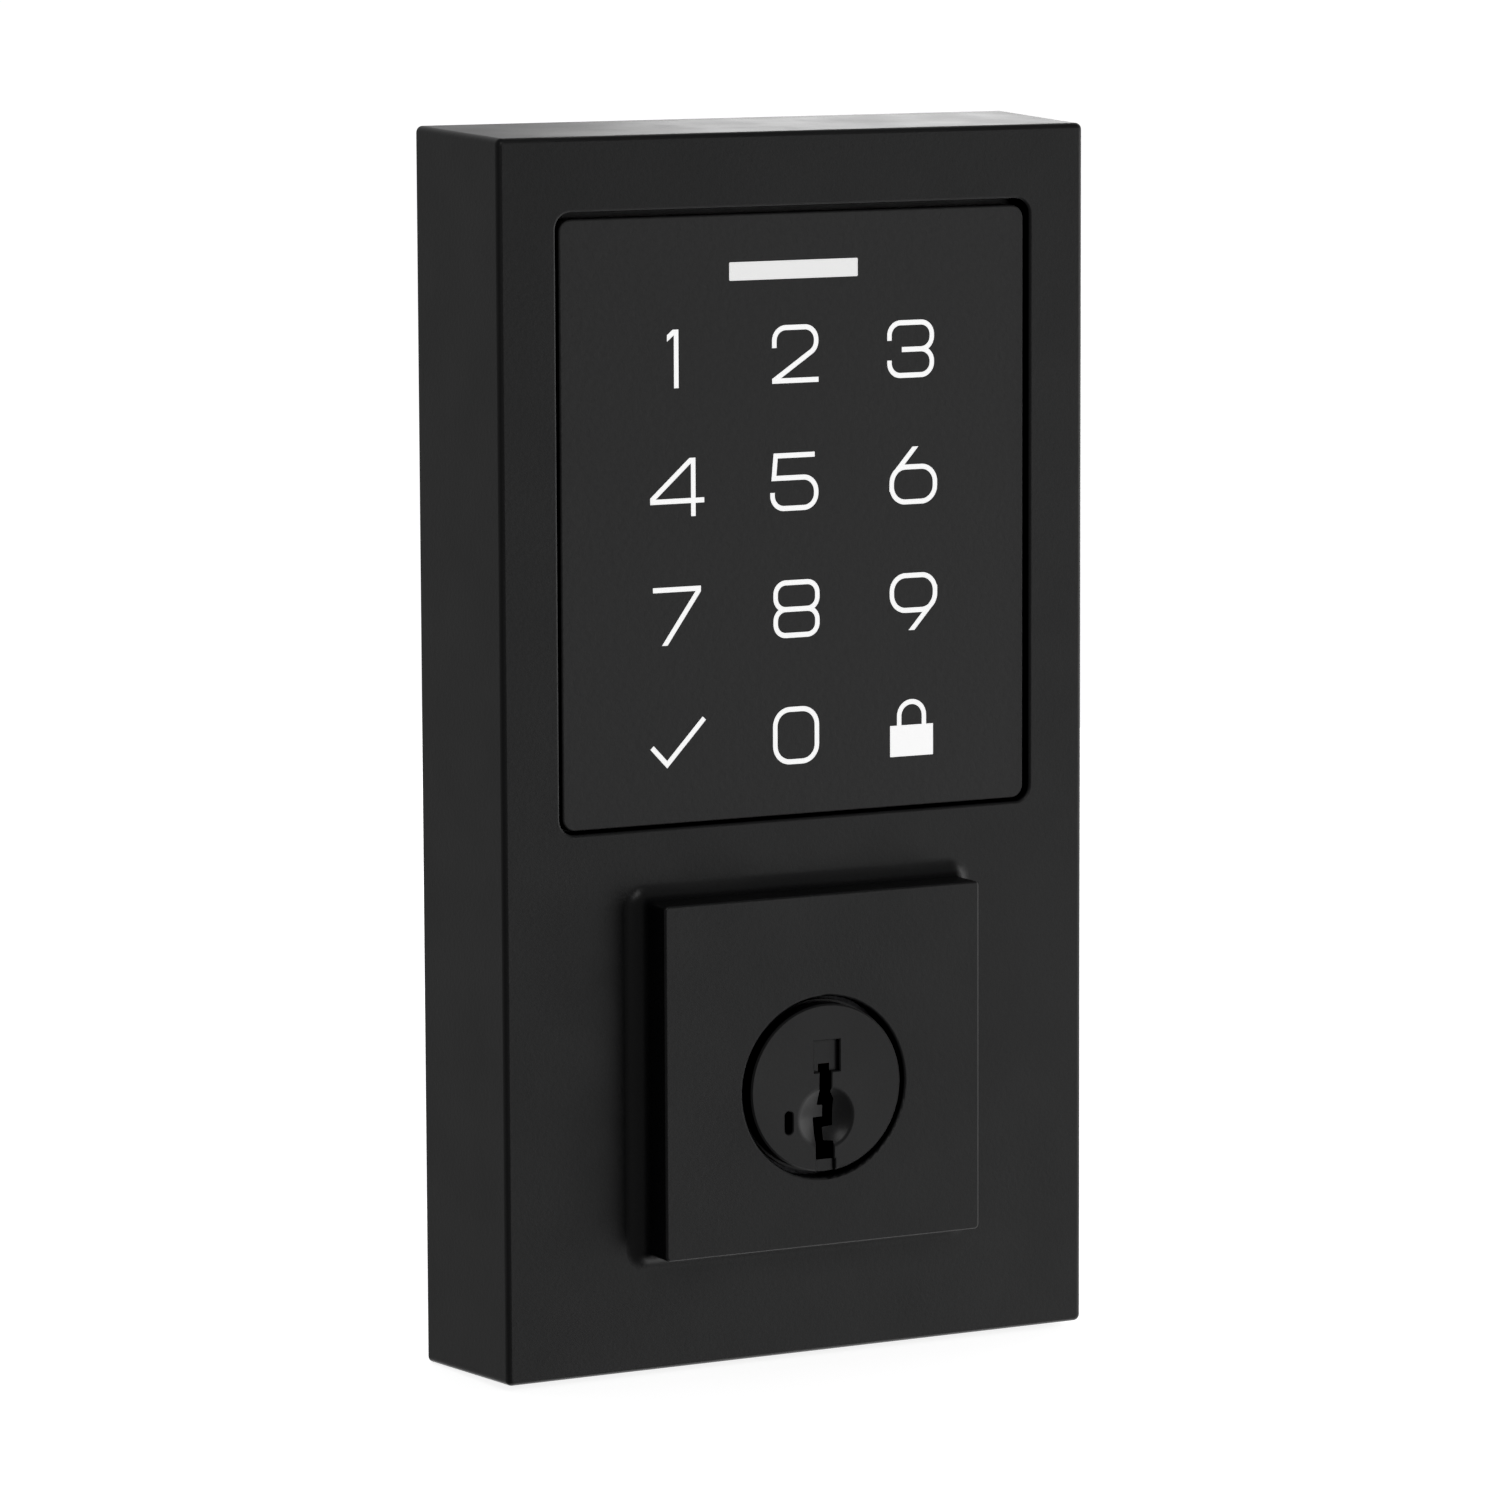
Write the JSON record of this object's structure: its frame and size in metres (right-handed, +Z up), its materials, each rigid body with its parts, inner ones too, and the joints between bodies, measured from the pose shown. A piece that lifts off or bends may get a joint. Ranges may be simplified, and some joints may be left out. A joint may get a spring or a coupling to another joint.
{
  "type": "keypad smart lock",
  "caption": "Outside unit of a keypad smart lock: touch keypad in a slim black case, with a key cylinder in a square boss below and a tailpiece through the door.",
  "frame": {"origin": "on the key cylinder's axis, in the plane of the door's outside face, midway between the two mounting posts", "axes": "+Z up along the case's height, -Y out of the keypad towards the user, +Y into the door along the tailpiece, +X to the user's right"},
  "size_m": [0.07, 0.0836, 0.13],
  "materials": {
    "case_paint": "satin black powder paint on die-cast zinc, fine grain",
    "plug_paint": "satin black plating on the plug's face",
    "panel_plastic": "matte black with a fine leather-like grain",
    "legend_white": "opaque white, flush with the panel",
    "light_window": "milky white light diffuser, faintly speckled",
    "seal_rubber": "soft black rubber",
    "gasket_foam": "closed-cell foam, fine pores",
    "sensor_film": "amber polyimide film",
    "mask_plastic": "matte black, opaque",
    "board_laminate": "green solder mask",
    "led_chip": "clear white dome on a white base",
    "chip_epoxy": "black moulded epoxy",
    "connector_nylon": "natural nylon",
    "tray_plastic": "dark grey moulded plastic",
    "screw_steel": "zinc plated",
    "plate_steel": "zinc plated sheet, rolled grain",
    "post_steel": "turned and zinc plated",
    "cylinder_metal": "die-cast zinc, dark",
    "follower_brass": "plain brass",
    "rack_steel": "sintered steel",
    "hard_steel": "hardened, blued",
    "spring_wire": "bright spring steel",
    "tailpiece_steel": "rolled and zinc plated",
    "cap_steel": "pressed, yellow passivated"
  },
  "bodies": {
    "lock_case": {"front_housing": "case_paint", "touch_panel": "panel_plastic", "keypad_legends": "legend_white", "status_light_window": "light_window", "panel_gasket": "seal_rubber", "touch_sensor_sheet": "sensor_film", "light_mask": "mask_plastic", "keypad_board": "board_laminate", "keypad_leds": "led_chip", "controller_chip": "chip_epoxy", "buzzer": "chip_epoxy", "board_connector": "connector_nylon", "board_carrier": "tray_plastic", "carrier_screws": "screw_steel", "back_plate": "plate_steel", "back_plate_screws": "screw_steel", "door_gasket": "gasket_foam", "cable_grommet": "seal_rubber", "mounting_posts": "post_steel", "cylinder_body": "cylinder_metal", "cylinder_screws": "screw_steel"},
    "key_plug": {"key_plug": "plug_paint", "anti_drill_pins": "hard_steel", "spring_cover": "follower_brass", "rack_carrier": "cylinder_metal", "sidebar_springs": "spring_wire", "plug_retaining_clip": "spring_wire", "tailpiece_cap": "cap_steel", "follower_spring_1": "spring_wire", "follower_spring_2": "spring_wire", "follower_spring_3": "spring_wire", "follower_spring_4": "spring_wire", "follower_spring_5": "spring_wire"},
    "sidebar": {"sidebar": "follower_brass"},
    "tailpiece": {"tailpiece": "tailpiece_steel"},
    "follower_1": {"key_follower_1": "follower_brass", "follower_rack_1": "rack_steel"},
    "follower_2": {"key_follower_2": "follower_brass", "follower_rack_2": "rack_steel"},
    "follower_3": {"key_follower_3": "follower_brass", "follower_rack_3": "rack_steel"},
    "follower_4": {"key_follower_4": "follower_brass", "follower_rack_4": "rack_steel"},
    "follower_5": {"key_follower_5": "follower_brass", "follower_rack_5": "rack_steel"}
  },
  "joints": [
    {"name": "plug_turn", "type": "hinge", "parent": "lock_case", "child": "key_plug", "pos_m": [0, 0, 0], "axis": [0, 1, 0], "range_deg": [-90, 90]},
    {"name": "tailpiece_swing", "type": "hinge", "parent": "key_plug", "child": "tailpiece", "pos_m": [0, 0, 0], "axis": [0, 1, 0], "range_deg": [-90, 0]},
    {"name": "sidebar_slide", "type": "slide", "parent": "key_plug", "child": "sidebar", "axis": [-1, 0, 0], "range_m": [0, 0.0009], "stiffness_N_per_m": 20, "springref_m": 0.0009, "deforming": ["sidebar_springs"]},
    {"name": "follower_1_lift", "type": "slide", "parent": "key_plug", "child": "follower_1", "axis": [0, 0, 1], "range_m": [0, 0.0018], "stiffness_N_per_m": 15, "springref_m": -0.001, "deforming": ["follower_spring_1"]},
    {"name": "follower_2_lift", "type": "slide", "parent": "key_plug", "child": "follower_2", "axis": [0, 0, 1], "range_m": [0, 0.0018], "stiffness_N_per_m": 15, "springref_m": -0.001, "deforming": ["follower_spring_2"]},
    {"name": "follower_3_lift", "type": "slide", "parent": "key_plug", "child": "follower_3", "axis": [0, 0, 1], "range_m": [0, 0.0018], "stiffness_N_per_m": 15, "springref_m": -0.001, "deforming": ["follower_spring_3"]},
    {"name": "follower_4_lift", "type": "slide", "parent": "key_plug", "child": "follower_4", "axis": [0, 0, 1], "range_m": [0, 0.0018], "stiffness_N_per_m": 15, "springref_m": -0.001, "deforming": ["follower_spring_4"]},
    {"name": "follower_5_lift", "type": "slide", "parent": "key_plug", "child": "follower_5", "axis": [0, 0, 1], "range_m": [0, 0.0018], "stiffness_N_per_m": 15, "springref_m": -0.001, "deforming": ["follower_spring_5"]}
  ]
}
